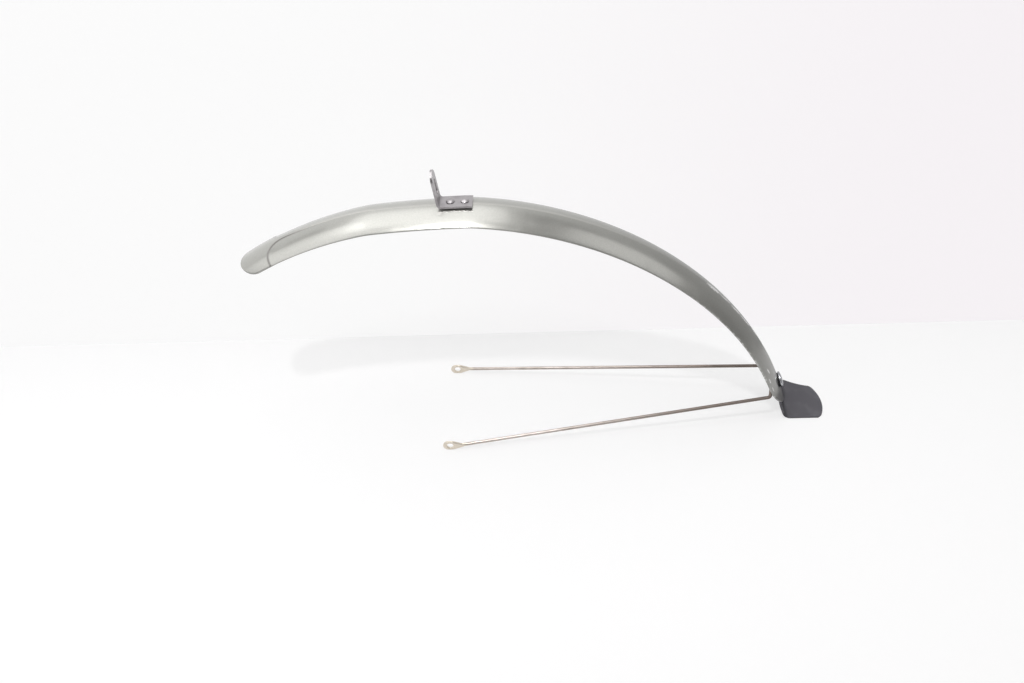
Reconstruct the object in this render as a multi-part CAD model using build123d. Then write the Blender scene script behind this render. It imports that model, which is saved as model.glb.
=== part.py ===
"""Front mudguard of a bicycle: arched blade, fork bracket, wire stay and mud flap.

It stands on the floor (z = 0) as it was laid down: on the two eyelets of its stay and on its flap,
with the front tip at -X and the flap at +X. Millimetres, +Z up, the blade's middle plane is y = 0.
Angles are those of the blade's outward normal, in degrees from +X up to +Z.
"""
import math
import os

from build123d import *

# Blade: an arched strip round the wheel
crown_radius = 360.0        # wheel centre to the top of the crown rib
blade_width = 51.2
blade_depth = 10.0          # rise of the arch across the width
blade_wall = 2.0
tip_angle = 122.2
end_angle = 16.4
end_height = 8.24           # crown at the rear end above the floor
tip_corner = 22.0
end_round = 42.0            # length of the rounded rear end
past_end = 1.0              # degrees by which the uncut strip runs past its rear end

# Raised crown and tip: the side panels leave the crown in a crease and fall back towards the edges
panel_step = 0.9            # set-back at the long edges
rib_width = 3.0             # plain crown between the two creases
crease_rise = 0.12          # the panels' cut starts this far above the crown
crease_turn = 4.0           # and this many degrees before the crease
step_angle = 117.0
step_corner = 20.0
blend = 0.2                 # the round corner runs into the rib by this
past_edge = 6.0             # degrees round the arch by which the cut clears the long edge

# Flatter stretch of the crown under the fork
seat_angle = 92.7
seat_span = 17.4
seat_radius = 1000.0
shoulder_radius = 120.0

# Fork bracket: an arched foot on the crown and an upright plate with a slot
bracket_angle = 91.4
bracket_lean = 5.0          # upright tilted to the front of the crown's normal
bracket_sheet = 2.0
bracket_foot = 27.0
bracket_height = 34.5
bracket_width = 18.0
bracket_bend = 3.5
slot_width = 6.5
slot_length = 15.0
slot_height = 19.0          # middle of the slot above the crown
rivet_diameter = 4.0
rivet_head = 8.0
rivet_head_height = 1.6
rivet_inset = 7.0           # from the foot's free end, and from the upright
rivet_tail = 6.2
rivet_tail_height = 1.2

# Wire stay with flattened eyelets
wire_diameter = 3.5
eye_forward = 9.4           # eyelet centres ahead of the wheel centre
eye_spacing = 115.4
eye_length = 15.2           # the eyelet is a flattened oval
eye_height = 11.6
eye_hole = 7.0
eye_sheet = 2.4
eye_neck = 13.0             # from the hole to the end of the flattened neck
bend_angle = 21.2
bend_below = 13.0           # bend below the crown
bend_spacing = 47.5
bend_radius = 3.5
bar_angle = 21.9
bar_below = 8.2             # cross bar below the crown
bar_length = 24.0
bar_radius = 8.0

# Bolt that holds the stay and the flap, with its clip and nut
bolt_angle = 20.7
bolt_diameter = 5.0
bolt_head = 17.0
bolt_head_height = 1.9
base_diameter = 15.0
base_height = 1.8
clip_width = 18.0
clip_below = 10.2           # underside of the clip below the crown
clip_ahead = 6.0            # clip past the cross bar and past the bolt
clip_behind = 8.0
clip_mouth = 2.9            # the wire snaps in through this
nut_flats = 8.0
nut_height = 2.2
nut_pocket = 2.6            # pocket for the nut in the clip
bolt_past_nut = 0.4

# Mud flap, bent over on the floor
flap_sheet = 2.0
flap_width = 48.6
flap_root = 22.2            # angle where the flap starts inside the blade
flap_root_width = 16.0
flap_shoulder = 15.0        # the wide part starts this far ahead of the blade's end
flap_floor = 37.0           # length that lies flat
flap_end_round = 36.0

# Clearances
seat_gap = 0.15             # between surfaces that seat on each other
hole_gap = 0.2              # round a shank in its hole
wire_gap = 0.1              # round the wire in its clip
end_gap = 0.4               # between the blade's rounded end and the flap's shoulders

arch_radius = (blade_width ** 2 / 4 + blade_depth ** 2) / (2 * blade_depth)
half_arch = math.degrees(math.asin(blade_width / 2 / arch_radius))
wheel_height = end_height - crown_radius * math.sin(math.radians(end_angle))


def ray(angle):
    """Unit vector at an angle in the blade's middle plane."""
    return Vector(math.cos(math.radians(angle)), 0, math.sin(math.radians(angle)))


def arch_drop(half_width, depth=0.0):
    """How far the arch falls from its crown to a half width."""
    radius = arch_radius - depth
    return radius - math.sqrt(radius ** 2 - half_width ** 2)


# The flap's root lies flat across the arch and touches it with its long edges.
# From the blade's end the flap bends down to the floor on one arc
flap_top = blade_wall + arch_drop(flap_root_width / 2, blade_wall) + seat_gap
flap_radius = crown_radius - flap_top - flap_sheet / 2
flap_leave = wheel_height + flap_radius * math.sin(math.radians(end_angle))
flap_bend = (flap_leave - flap_sheet / 2) / (1 - math.sin(math.radians(end_angle)))
flap_landing = (flap_radius + flap_bend) * math.cos(math.radians(end_angle))
flap_end = flap_landing + flap_floor

# The wheel centre lies where the whole part is centred on x = 0
wheel_x = -(flap_end + crown_radius * math.cos(math.radians(tip_angle))) / 2
wheel = Vector(wheel_x, 0, wheel_height)


def crown_arcs():
    """The crown line as tangent arcs from rear to front: hub, radius, first and last angle."""
    half = seat_span / 2
    reach = crown_radius - shoulder_radius
    flat = reach * math.sin(math.radians(half)) / (seat_radius - shoulder_radius)
    rear = seat_angle - half
    front = seat_angle + half
    seat_rear = seat_angle - math.degrees(math.asin(flat))
    seat_front = seat_angle + math.degrees(math.asin(flat))
    rear_hub = wheel + ray(rear) * reach
    front_hub = wheel + ray(front) * reach
    seat_hub = rear_hub - ray(seat_rear) * (seat_radius - shoulder_radius)
    return [
        (wheel, crown_radius, -90.0, rear),
        (rear_hub, shoulder_radius, rear, seat_rear),
        (seat_hub, seat_radius, seat_rear, seat_front),
        (front_hub, shoulder_radius, seat_front, front),
        (wheel, crown_radius, front, 270.0),
    ]


def crown_point(angle, above=0.0):
    """Point on the crown line at an angle, moved outward by a height."""
    for hub, radius, start, stop in crown_arcs():
        if start <= angle <= stop:
            return hub + ray(angle) * (radius + above)


def angle_behind(angle, length):
    """Angle of the crown point that lies a length further to the rear along the crown."""
    for hub, radius, start, stop in reversed(crown_arcs()):
        if start < angle <= stop:
            turned = angle - math.degrees(length / radius)
            if turned >= start:
                return turned
            length -= math.radians(angle - start) * radius
            angle = start


def section_plane(point, angle):
    """Plane across the blade: its x axis is +Y and its y axis points away from the wheel."""
    return Plane(point, x_dir=(0, 1, 0), z_dir=-ray(angle + 90))


def outward_plane(angle, above=0.0):
    """Plane on the crown at an angle, its normal away from the wheel and its x axis along +Y."""
    return Plane(crown_point(angle, above), x_dir=(0, 1, 0), z_dir=ray(angle))


def along_crown(section, first, last):
    """A cross-section carried along the crown line between two angles."""
    solid = None
    for hub, radius, start, stop in crown_arcs():
        begin = max(start, first)
        finish = min(stop, last)
        if finish > begin:
            placed = section_plane(hub + ray(begin) * radius, begin) * section
            piece = revolve(placed, Axis(hub, (0, -1, 0)), finish - begin)
            solid = piece if solid is None else solid + piece
    return solid


def on_arch(turn, depth=0.0):
    """Point of the cross-section at a turn round the arch's centre, below the outer surface."""
    radius = arch_radius - depth
    swing = math.radians(turn)
    return (radius * math.sin(swing), radius * math.cos(swing) - arch_radius)


def under_arch(half_width, top, floor):
    """Region under the arch: an arched top at a depth and a flat underside."""
    turn = math.degrees(math.asin(half_width / (arch_radius - top)))
    over = ThreePointArc(on_arch(-turn, top), on_arch(0, top), on_arch(turn, top))
    rest = Polyline(over @ 1, (half_width, -floor), (-half_width, -floor), over @ 0)
    return make_face([over, rest])


def blade_section():
    """Arched wall, cut square at its long edges."""
    turn = half_arch
    over = ThreePointArc(on_arch(-turn), on_arch(0), on_arch(turn))
    under = ThreePointArc(
        on_arch(turn, blade_wall), on_arch(0, blade_wall), on_arch(-turn, blade_wall)
    )
    return make_face([over, Line(over @ 1, under @ 0), under, Line(under @ 1, over @ 0)])


def panel_section(side):
    """What is taken off one side panel: from the crease out past the long edge."""
    crease = math.degrees(math.asin(rib_width / 2 / arch_radius))
    first = side * (crease - crease_turn)
    last = side * (half_arch + past_edge)
    middle = (first + last) / 2
    clear = -2 * blade_wall
    under = ThreePointArc(
        on_arch(first, -crease_rise), on_arch(middle, panel_step / 2), on_arch(last, panel_step)
    )
    over = ThreePointArc(on_arch(last, clear), on_arch(middle, clear), on_arch(first, clear))
    return make_face([under, Line(under @ 1, over @ 0), over, Line(over @ 1, under @ 0)])


def round_off(angle, middle, radius, out, back):
    """Square corner less a round with its middle at a y; out and back lead from middle to corner.

    back is -1 where the round lies at larger angles than the corner, and +1 at smaller ones.
    """
    size = radius + 2 * blade_wall
    hub = Pos(middle, -back * radius)
    block = hub * Pos(out * size / 2, back * size / 2) * Rectangle(size, size)
    corner = outward_plane(angle) * (block - hub * Circle(radius))
    return extrude(corner, blade_depth + 2 * blade_wall, both=True)


def panel_cut(side):
    """One set-back side panel, with a round corner where the rib runs into the tip."""
    cut = along_crown(panel_section(side), end_angle - 2 * past_end, step_angle)
    middle = side * (rib_width / 2 + step_corner - blend)
    return cut - round_off(step_angle, middle, step_corner, -side, 1)


def rounded_end(gap=0.0):
    """Plan of the blade's rear end on the plane that touches the crown there, grown by a gap."""
    return Pos(0, end_round) * Ellipse(blade_width / 2 + gap, end_round + gap)


def end_cuts():
    """What is taken off the blade's two ends."""
    reach = blade_depth + 2 * blade_wall
    rest = Pos(0, end_round / 2 - reach / 2) * Rectangle(2 * blade_width, end_round + reach)
    cuts = [extrude(outward_plane(end_angle) * (rest - rounded_end()), reach, both=True)]
    for side in (-1, 1):
        middle = side * (blade_width / 2 - tip_corner)
        cuts.append(round_off(tip_angle, middle, tip_corner, side, 1))
    return cuts


def shank(angle, diameter, top, bottom):
    """Round bar through the crown from one height to another."""
    return extrude(outward_plane(angle, bottom) * Circle(diameter / 2), top - bottom)


def blade():
    """Arched blade with a raised crown rib and tip, round-cornered ends and its holes."""
    solid = along_crown(blade_section(), end_angle - past_end, tip_angle)
    through = 2 * blade_wall
    cuts = [shank(bolt_angle, bolt_diameter + 2 * hole_gap, through, -through)]
    cuts += [shank(angle, rivet_diameter + 2 * hole_gap, through, -through) for angle in rivet_angles]
    cuts += [panel_cut(side) for side in (-1, 1)]
    return solid - (cuts + end_cuts())


bracket_end = angle_behind(bracket_angle, bracket_foot)
rivet_angles = [
    angle_behind(bracket_angle, rivet_inset),
    angle_behind(bracket_angle, bracket_foot - rivet_inset),
]


def bracket_path():
    """Middle line of the bent strip: along the crown, round the bend and up."""
    above = seat_gap + bracket_sheet / 2
    lines = []
    for hub, radius, start, stop in crown_arcs():
        first = max(start, bracket_end)
        last = min(stop, bracket_angle)
        if last > first:
            stops = [hub + ray(turn) * (radius + above) for turn in (first, (first + last) / 2, last)]
            lines.append(ThreePointArc(*stops))
    hub = lines[-1] @ 1 + ray(bracket_angle) * bracket_bend
    middle = bracket_angle + (180 + 90 + bracket_lean) / 2
    bend_end = hub + ray(bracket_angle + 90 + bracket_lean) * bracket_bend
    lines.append(ThreePointArc(lines[-1] @ 1, hub + ray(middle) * bracket_bend, bend_end))
    rise = ray(bracket_angle + bracket_lean) * (bracket_height - above - bracket_bend)
    lines.append(Line(bend_end, bend_end + rise))
    return Wire(lines)


def fork_bracket():
    """Bent strip: a foot along the crown and an upright with a slot for the fork bolt."""
    path = bracket_path()
    strip = Plane(path @ 0, x_dir=(0, 1, 0), z_dir=path % 0) * Rectangle(bracket_width, bracket_sheet)
    bracket = sweep(strip, path=path)
    half = bracket_width / 2
    plane = section_plane(path @ 1, bracket_angle + bracket_lean)
    crest = Pos(0, -half / 2) * Rectangle(2 * bracket_width, half) - Pos(0, -half) * Circle(half)
    slot = Pos(0, slot_height - bracket_height) * Rot(0, 0, 90) * SlotOverall(slot_length, slot_width)
    cuts = [extrude(plane * (crest + slot), 2 * bracket_sheet, both=True)]
    through = seat_gap + 2 * bracket_sheet
    cuts += [shank(angle, rivet_diameter + 2 * hole_gap, through, 0) for angle in rivet_angles]
    return bracket - cuts


def rivets():
    """Two rivets through the bracket's foot and the blade."""
    solids = []
    seat = seat_gap + bracket_sheet + seat_gap
    tail = -blade_wall - arch_drop(rivet_tail / 2, blade_wall) - seat_gap
    for angle in rivet_angles:
        rivet = shank(angle, rivet_head, seat + rivet_head_height, seat)
        rivet += shank(angle, rivet_diameter, seat, tail - rivet_tail_height)
        rivet += shank(angle, rivet_tail, tail, tail - rivet_tail_height)
        solids.append(rivet)
    return Compound(children=solids)


def eyelet(side):
    """Flattened end of the wire with a hole across it, and the wire's neck."""
    centre = Vector(wheel_x - eye_forward, side * eye_spacing / 2, eye_height / 2)
    shift = (eye_length - eye_height) / 2
    rounds = [Pos(x, 0) * Circle(eye_height / 2) for x in (-shift, shift)]
    rounds.append(Pos(eye_neck, 0) * Circle(wire_diameter / 2))
    edges = [edge for circle in rounds for edge in circle.edges()]
    outline = make_hull(edges) - Circle(eye_hole / 2)
    plane = Plane(centre, x_dir=(1, 0, 0), z_dir=(0, -1, 0))
    return extrude(plane * outline, eye_sheet / 2, both=True)


def wire_stay():
    """U of round wire: two legs, a cross bar inside the blade and two flattened eyelets."""
    eye = Vector(wheel_x - eye_forward, -eye_spacing / 2, eye_height / 2)
    half = [
        eye + Vector(eye_neck - wire_diameter, 0, 0),
        crown_point(bend_angle, -bend_below) - Vector(0, bend_spacing / 2, 0),
        crown_point(bar_angle, -bar_below) - Vector(0, bar_length / 2, 0),
    ]
    other = [Vector(p.X, -p.Y, p.Z) for p in reversed(half)]
    turns = [bend_radius, bar_radius]
    path = FilletPolyline(*half, *other, radius=turns + turns[::-1])
    start = Plane(path @ 0, z_dir=path % 0)
    wire = sweep(start * Circle(wire_diameter / 2), path=path)
    return wire + eyelet(-1) + eyelet(1)


def hexagon(inner_radius):
    """Hexagon with two of its flats across the crown line."""
    return RegularPolygon(inner_radius, 6, major_radius=False)


def stay_clip():
    """Block under the flap: it takes the cross bar in a groove, and the bolt and its nut."""
    first = angle_behind(bolt_angle, clip_behind)
    last = bar_angle + math.degrees(clip_ahead / crown_radius)
    middle = (first + last) / 2
    half = math.radians(last - first) / 2 * crown_radius
    top = flap_top + flap_sheet + seat_gap + half ** 2 / (2 * crown_radius)
    section = Pos(0, -(top + clip_below) / 2) * Rectangle(clip_width, clip_below - top)
    plane = section_plane(crown_point(middle), middle)
    block = extrude(plane * section, half, both=True)
    bar = crown_point(bar_angle, -bar_below)
    groove = Circle(wire_diameter / 2 + wire_gap)
    groove += Pos(0, -clip_below / 2) * Rectangle(clip_mouth, clip_below)
    plane = Plane(bar, x_dir=ray(bar_angle + 90), z_dir=(0, 1, 0))
    block -= extrude(plane * groove, clip_width, both=True)
    pocket = outward_plane(bolt_angle, nut_pocket - clip_below) * hexagon(nut_flats / 2 + hole_gap)
    block -= extrude(pocket, -clip_below)
    return block - shank(bolt_angle, bolt_diameter + 2 * hole_gap, 0, -2 * clip_below)


def bolt_base():
    """Round base between the blade and the bolt's head, shaped to the crown."""
    base = shank(bolt_angle, base_diameter, base_height, -arch_drop(base_diameter / 2) - panel_step)
    sag = base_diameter ** 2 / (8 * crown_radius)
    body = under_arch(base_diameter, -seat_gap + sag, blade_depth)
    base -= extrude(section_plane(crown_point(bolt_angle), bolt_angle) * body, base_diameter, both=True)
    return base - shank(bolt_angle, bolt_diameter + 2 * hole_gap, base_height, -blade_depth)


def stay_bolt():
    """Bolt with a wide, low head."""
    seat = base_height + seat_gap
    tip = nut_pocket - clip_below - seat_gap - nut_height - bolt_past_nut
    head = shank(bolt_angle, bolt_head, seat + bolt_head_height, seat)
    return head + shank(bolt_angle, bolt_diameter, seat, tip)


def stay_nut():
    """Hexagon nut in its pocket in the clip."""
    face = nut_pocket - clip_below - seat_gap
    nut = hexagon(nut_flats / 2) - Circle(bolt_diameter / 2 + wire_gap)
    return extrude(outward_plane(bolt_angle, face) * nut, -nut_height)


def flap_face(above):
    """Line of the flap's face, seen from the side, at a height above its middle."""
    hub = wheel + ray(end_angle) * (flap_radius + flap_bend)
    root = (flap_root, (flap_root + end_angle) / 2, end_angle)
    bend = (end_angle, (end_angle + 90) / 2, 90)
    along = ThreePointArc(*[wheel + ray(turn) * (flap_radius + above) for turn in root])
    down = ThreePointArc(*[hub - ray(turn) * (flap_bend - above) for turn in bend])
    floor = Line(down @ 1, (wheel_x + flap_end, 0, flap_sheet / 2 + above))
    return [along, down, floor]


def flap_plan():
    """What the blade's rounded end leaves out of the flap: all but a tongue under the blade."""
    ahead = Pos(0, flap_shoulder + end_round) * Rectangle(2 * flap_width, 2 * end_round)
    tongue = Rectangle(flap_root_width, 4 * (flap_shoulder + end_round))
    return rounded_end(end_gap) + ahead - tongue


def mud_flap():
    """Flexible sheet under the blade's end, bent over so that it lies on the floor."""
    top = flap_face(flap_sheet / 2)
    under = flap_face(-flap_sheet / 2)
    ends = [Line(top[0] @ 0, under[0] @ 0), Line(top[2] @ 1, under[2] @ 1)]
    flap = extrude(make_face(top + under + ends), flap_width / 2, both=True)
    centre = wheel_x + flap_end - flap_end_round
    beyond = Pos(centre + flap_end_round, 0) * Rectangle(2 * flap_end_round, 2 * flap_width)
    beyond -= Pos(centre, 0) * Circle(flap_end_round)
    cuts = [
        extrude(outward_plane(end_angle) * flap_plan(), 2 * blade_depth, both=True),
        extrude(beyond, 2 * flap_sheet, both=True),
        shank(bolt_angle, bolt_diameter + 2 * hole_gap, 0, -clip_below),
    ]
    return flap - cuts


pieces = {
    "mudguard_blade": blade,
    "fork_bracket": fork_bracket,
    "bracket_rivets": rivets,
    "wire_stay": wire_stay,
    "stay_clip": stay_clip,
    "bolt_base": bolt_base,
    "stay_bolt": stay_bolt,
    "stay_nut": stay_nut,
    "mud_flap": mud_flap,
}

os.makedirs("parts", exist_ok=True)
for name, make in pieces.items():
    solid = make()
    solid.label = name
    export_step(solid, f"parts/{name}.step")
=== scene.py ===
# %% [markdown]
# # A bicycle's front mudguard
#
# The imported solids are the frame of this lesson: they fix every size and place. What the solids
# can't give is added here, piece by piece: a smooth painted blade with soft edges, a rubber flap
# that curls, a smooth wire, turned fasteners, and finishes with wear on them. Lengths are in
# metres, with the floor at z = 0.

# %% Load the solids
import math

import bpy
import numpy as np
from mathutils import Euler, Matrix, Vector


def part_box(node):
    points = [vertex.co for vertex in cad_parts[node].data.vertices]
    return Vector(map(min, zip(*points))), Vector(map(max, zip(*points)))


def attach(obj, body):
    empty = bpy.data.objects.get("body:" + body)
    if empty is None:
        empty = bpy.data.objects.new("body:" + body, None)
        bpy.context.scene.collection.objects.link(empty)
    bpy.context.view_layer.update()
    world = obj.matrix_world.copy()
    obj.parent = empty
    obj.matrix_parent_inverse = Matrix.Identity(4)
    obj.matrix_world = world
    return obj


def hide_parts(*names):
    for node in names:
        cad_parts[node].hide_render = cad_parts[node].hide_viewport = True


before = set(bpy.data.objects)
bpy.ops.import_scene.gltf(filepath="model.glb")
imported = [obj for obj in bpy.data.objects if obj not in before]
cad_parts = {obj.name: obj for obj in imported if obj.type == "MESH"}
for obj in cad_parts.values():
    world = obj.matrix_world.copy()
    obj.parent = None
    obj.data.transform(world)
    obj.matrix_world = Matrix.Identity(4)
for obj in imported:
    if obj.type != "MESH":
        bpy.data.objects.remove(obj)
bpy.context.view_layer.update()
mm = 0.001
print("solids:", sorted(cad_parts))

# %% [markdown]
# ## The crown line
#
# The blade bends round the wheel, with a flatter stretch where it passes under the fork. Five
# arcs that meet tangentially describe this line well, so one angle, that of the outward normal,
# is enough to name a place on it. The wheel's centre follows from the stay's eyelets, which the
# frame knows.

# %% The crown line as five tangent arcs
crown_radius = 360 * mm
tip_angle = 122.2
end_angle = 16.4
end_height = 8.24 * mm
seat_angle = 92.7
seat_span = 17.4
seat_radius = 1000 * mm
shoulder_radius = 120 * mm
eye_forward = 9.4 * mm
eye_length = 15.2 * mm


def ray(angle):
    """Unit vectors (x, z) at angles in degrees, from +X up to +Z, in the blade's middle plane."""
    turn = np.radians(angle)
    return np.stack([np.cos(turn), np.sin(turn)], -1)


wheel_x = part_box("wire_stay")[0][0] + eye_length / 2 + eye_forward
wheel_z = end_height - crown_radius * math.sin(math.radians(end_angle))
wheel = np.array([wheel_x, wheel_z])


def crown_arcs():
    """Rows of (hub x, hub z, radius, first angle) from the rear end to the tip."""
    half = seat_span / 2
    reach = crown_radius - shoulder_radius
    flat = reach * math.sin(math.radians(half)) / (seat_radius - shoulder_radius)
    swing = math.degrees(math.asin(flat))
    rear_hub = wheel + ray(seat_angle - half) * reach
    front_hub = wheel + ray(seat_angle + half) * reach
    seat_hub = rear_hub - ray(seat_angle - swing) * (seat_radius - shoulder_radius)
    return np.array([
        [*wheel, crown_radius, -180],
        [*rear_hub, shoulder_radius, seat_angle - half],
        [*seat_hub, seat_radius, seat_angle - swing],
        [*front_hub, shoulder_radius, seat_angle + swing],
        [*wheel, crown_radius, seat_angle + half],
    ])


arcs = crown_arcs()
print("wheel centre:", wheel.round(4), "arcs:", len(arcs))


# %% Places on the crown line
def crown(angle, above):
    """Points (x, z): the hub of the angle's arc, plus its radius and a height along the ray."""
    row = arcs[np.searchsorted(arcs[:, 3], angle, side="right") - 1]
    return row[..., :2] + ray(angle) * (row[..., 2] + above)[..., None]


def lengths_along(points):
    """Length along a line at each of its points: the sum of the steps so far."""
    steps = np.linalg.norm(np.diff(points, axis=0), axis=1)
    return np.concatenate([[0], np.cumsum(steps)])


fine_angles = np.linspace(tip_angle, end_angle, 4001)
fine_along = lengths_along(crown(fine_angles, np.zeros_like(fine_angles)))
crown_length = fine_along[-1]


def along_at(angle):
    """Length from the tip along the crown at a normal's angle."""
    return float(np.interp(-angle, -fine_angles, fine_along))


def angle_at(along):
    """The normal's angle at lengths from the tip along the crown."""
    return np.interp(along, fine_along, fine_angles)


print("crown length:", round(float(crown_length), 4))

# %% [markdown]
# ## Helpers for surfaces
#
# Every new piece is made of grids of points: rows in one direction, columns in the other. The
# faces of such a grid are always the same pattern of four neighbours, so one function can index
# them as an array. Two smooth curves, a rise and a bell, shape what changes over a surface.

# %% Grid faces and mesh objects
def grid_faces(index, wrap=False):
    """Quads between neighbours in a 2-D array of point numbers.

    With wrap, the last column is joined to the first.
    """
    if wrap:
        index = np.concatenate([index, index[:, :1]], 1)
    corners = [index[:-1, :-1], index[:-1, 1:], index[1:, 1:], index[1:, :-1]]
    return np.stack(corners, -1).reshape(-1, 4)


def add_piece(name, points, faces, nodes, attributes=None):
    """Smooth mesh object that stands for nodes of the frame, with named values per point."""
    mesh = bpy.data.meshes.new(name)
    mesh.from_pydata(points.reshape(-1, 3).tolist(), [], faces)
    mesh.shade_smooth()
    for key, values in (attributes or {}).items():
        layer = mesh.attributes.new(key, "FLOAT", "POINT")
        layer.data.foreach_set("value", np.ascontiguousarray(values, dtype=np.float32).ravel())
    mesh.validate()
    piece = bpy.data.objects.new(name, mesh)
    bpy.context.scene.collection.objects.link(piece)
    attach(piece, "root")
    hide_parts(*nodes)
    print(name, "points:", len(mesh.vertices), "faces:", len(mesh.polygons))
    return piece


def ease(value, start, stop):
    """Smooth rise from 0 at start to 1 at stop: three squares less two cubes of the share."""
    t = np.clip((value - start) / (stop - start), 0, 1)
    return t * t * (3 - 2 * t)


def bell(value, middle, width):
    """Bell curve: 1 at the middle, and the exponential of minus the squared distance in widths."""
    return np.exp(-((value - middle) / width) ** 2)


# %% [markdown]
# ## The blade
#
# The real blade is a thin arched strip with soft edges, rounded at the tip and drawn to a round
# end at the rear. A narrow crown runs along it and widens into the whole tip; the side panels
# leave the crown in a crease and lie a little lower. A grid suits it: rows along the crown,
# columns round the wall's cross-section. The panels are a depth that is worked out from the
# distance to their outline.

# %% Blade sizes and rows
blade_width = 51.2 * mm
blade_depth = 10 * mm
blade_wall = 2 * mm
tip_corner = 22 * mm
end_round = 42 * mm
step_angle = 117.0
step_corner = 20 * mm
step_row = 0.3 * mm             # rows lie this close round the step, and further apart behind it
plain_row = 2.5 * mm
least_row = 0.15 * mm           # a row closer to the last one is left out
blade_half = blade_width / 2
arch_radius = (blade_width ** 2 / 4 + blade_depth ** 2) / (2 * blade_depth)
step_along = along_at(step_angle)


def blade_rows():
    """Lengths from the tip: close at both round ends and round the step, wider elsewhere."""
    tip_turn = np.linspace(0, math.pi / 2, 24)
    end_turn = np.linspace(math.radians(4), math.pi / 2, 34)
    rows = np.concatenate([
        tip_corner * (1 - np.cos(tip_turn)),
        np.arange(step_along - 1.5 * mm, step_along + step_corner + 4 * mm, step_row),
        np.arange(tip_corner, crown_length - end_round, plain_row),
        crown_length - end_round * (1 - np.cos(end_turn)),
    ])
    rows = np.unique(rows.round(6))
    return rows[np.concatenate([[True], np.diff(rows) > least_row])]


def plan_half_width(along):
    """Half the blade's width at a length from the tip: a corner arc, then half an ellipse."""
    lead = np.clip(tip_corner - along, 0, tip_corner)
    front = blade_half - tip_corner + np.sqrt(tip_corner ** 2 - lead ** 2)
    rest = np.clip(1 - (crown_length - along) / end_round, 0, 1)
    return np.minimum(front, blade_half * np.sqrt(1 - rest ** 2))


rows_along = blade_rows()
row_angles = angle_at(rows_along)
print("rows:", len(rows_along))

# %% The side panels
step_drop = 0.35 * mm
step_slope = 0.9 * mm
step_slant = 2.5 * mm           # the step's line runs this far back towards the edges
step_fade = (25 * mm, 120 * mm)  # behind the step's line, where it turns into a crease
panel_drop = 0.6 * mm
panel_reach = 5 * mm
crease_half = 0.8 * mm          # half the crown between the creases
crease_widening = 0.7 * mm      # and what it gains between this angle and the step
crease_angle = 100.0


def panel_inside(along, across):
    """Distance into a side panel from its outline.

    The outline is the crease, the step's line in front and a round corner between them.
    """
    wider = ease(-along, -along_at(crease_angle), -step_along)
    side = np.abs(across) - (crease_half + crease_widening * wider)
    behind = along - step_along - step_slant * (across / blade_half) ** 2
    corner = step_corner - np.hypot(step_corner - side, step_corner - behind)
    in_corner = (side < step_corner) & (behind < step_corner)
    return np.where(in_corner, corner, np.minimum(side, behind))


def panel_depth(along, across):
    """Depth of the outer face: a step that fades along the crown, and a fall that levels out.

    The step is eased over its slope; the fall is a drop times one minus an exponential of the
    distance inside.
    """
    inside = panel_inside(along, across)
    fade_start, fade_stop = step_fade
    sharp = step_drop * (1 - ease(along, step_along + fade_start, step_along + fade_stop))
    fall = panel_drop * (1 - np.exp(-np.clip(inside, 0, None) / panel_reach))
    return sharp * ease(inside, 0, step_slope) + fall


deepest = panel_depth(rows_along, np.full_like(rows_along, blade_half)).max()
print("deepest place of the panels:", round(float(deepest), 5))

# %% The blade's wall
close_columns = np.arange(0.2 * mm, 2.8 * mm, 0.2 * mm)     # at the creases
wide_columns = np.linspace(3.2 * mm, blade_half, 30)
one_side = np.concatenate([close_columns, wide_columns])
columns = np.concatenate([-one_side[::-1], [0], one_side]) / blade_half
edge_steps = np.linspace(0, math.pi, 8)[1:-1]
least_turn = 0.002              # the arch never closes up quite, so that no faces fall together


def blade_points():
    """Loops round the wall, row by row: outer face, far edge, inner face, near edge.

    A point lies at a turn round the arch's centre and a depth below the arch; the edges are half
    circles. Returns the points, their lengths across and their distances from the rim.
    """
    width = plan_half_width(rows_along)[:, None]
    edge = blade_wall / 2
    limit = np.arcsin(np.clip(width / arch_radius, 0, 1)) - edge / arch_radius
    limit = np.maximum(limit, least_turn)
    turn = columns * limit
    depth = panel_depth(rows_along[:, None], turn * arch_radius)
    inner = np.full_like(turn, blade_wall)
    far_middle, far_round = (depth[:, -1:] + blade_wall) / 2, (blade_wall - depth[:, -1:]) / 2
    near_middle, near_round = (depth[:, :1] + blade_wall) / 2, (blade_wall - depth[:, :1]) / 2
    far_depth = far_middle - far_round * np.cos(edge_steps)
    far_turn = limit + far_round * np.sin(edge_steps) / arch_radius
    near_depth = near_middle + near_round * np.cos(edge_steps)
    near_turn = -limit - near_round * np.sin(edge_steps) / arch_radius
    turns = np.concatenate([turn, far_turn, turn[:, ::-1], near_turn], 1)
    depths = np.concatenate([depth, far_depth, inner, near_depth], 1)
    reach = arch_radius - depths
    above = reach * np.cos(turns) - arch_radius
    angles = np.broadcast_to(row_angles[:, None], turns.shape)
    flat = crown(angles.ravel(), above.ravel()).reshape(*turns.shape, 2)
    points = np.stack([flat[..., 0], reach * np.sin(turns), flat[..., 1]], -1)
    return points, turns * arch_radius, np.abs(np.abs(turns) - limit) * arch_radius


blade_grid, blade_across, blade_rim = blade_points()
print("points in a loop:", blade_grid.shape[1])

# %% The blade as a closed mesh
loop = blade_grid.shape[1]
count = len(columns)
fold = len(edge_steps)


def end_cap(first):
    """Faces that close a loop: quads between the outer and inner face, and a fan at each edge."""
    k = np.arange(count - 1)
    back = 2 * count + fold - 1
    quads = first + np.stack([k, k + 1, back - k - 1, back - k], -1)
    far_fan = first + np.arange(count - 1, count + fold + 1)
    near_fan = first + np.concatenate([np.arange(back, loop), [0]])
    return [*quads.tolist(), far_fan.tolist(), near_fan.tolist()]


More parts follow.
